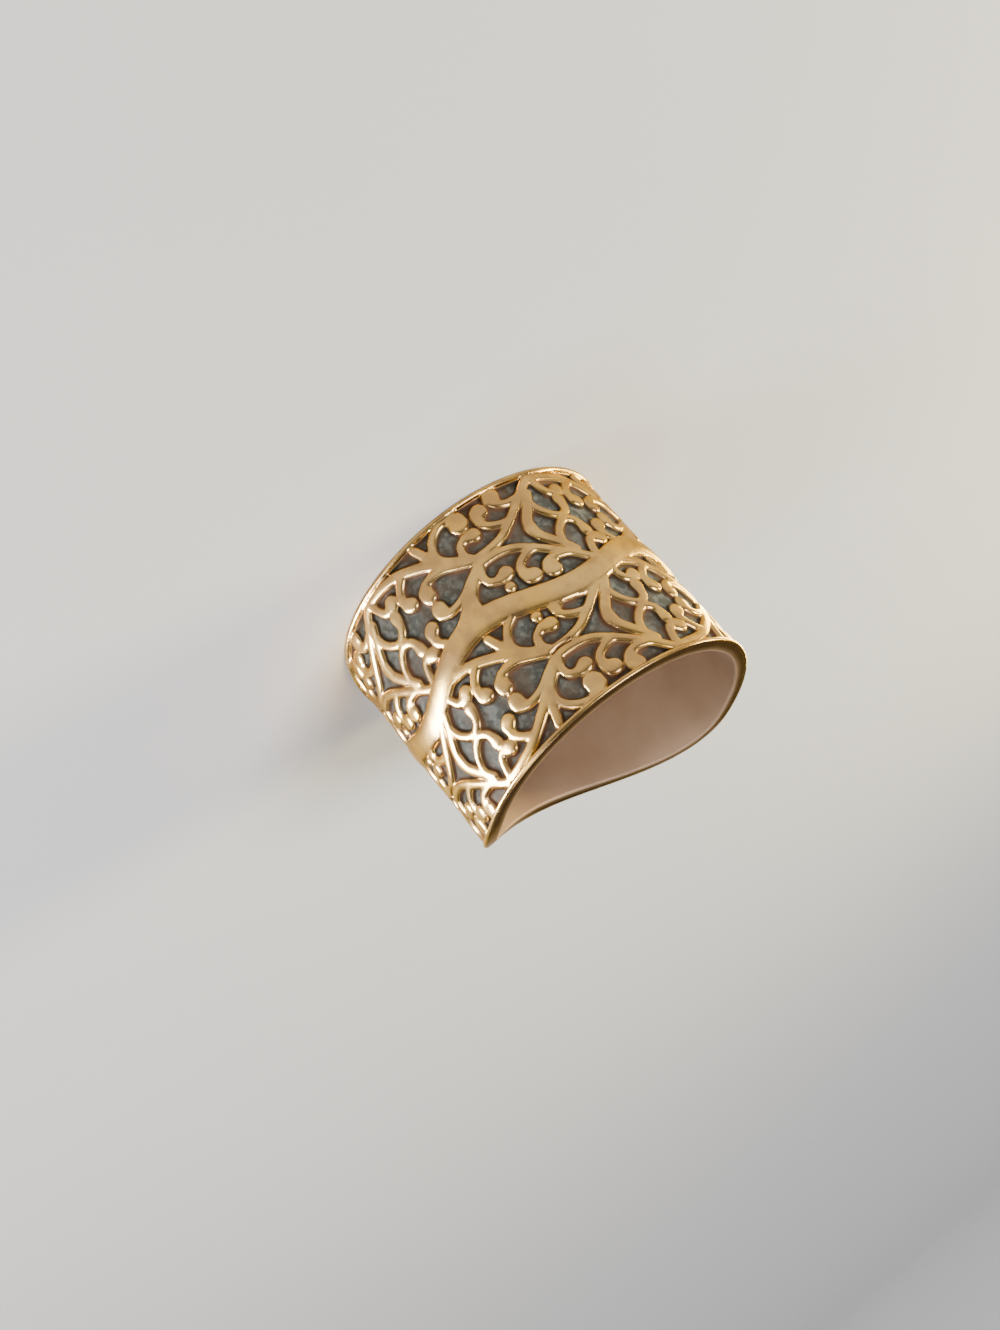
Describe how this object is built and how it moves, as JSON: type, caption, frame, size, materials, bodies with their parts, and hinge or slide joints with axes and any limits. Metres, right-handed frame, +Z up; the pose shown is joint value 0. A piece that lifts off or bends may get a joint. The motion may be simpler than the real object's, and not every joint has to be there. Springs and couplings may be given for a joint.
{
  "type": "finger ring",
  "caption": "Wide cast band ring with raised scrollwork in two rows on a sunk ground, a plain waving ribbon between them, beaded rims and a narrower back.",
  "frame": {"origin": "on the floor under the axis of the finger hole, the ring lying on its rim", "axes": "+Z up along the finger hole, -Y towards the middle of the wide front, +Y towards the narrow back"},
  "size_m": [0.0208, 0.0208, 0.0164],
  "materials": {
    "cast_metal": "satin champagne-toned cast brass with an oxidised grey-brown ground"
  },
  "bodies": {
    "root": {"ring_band": "cast_metal"}
  },
  "joints": []
}
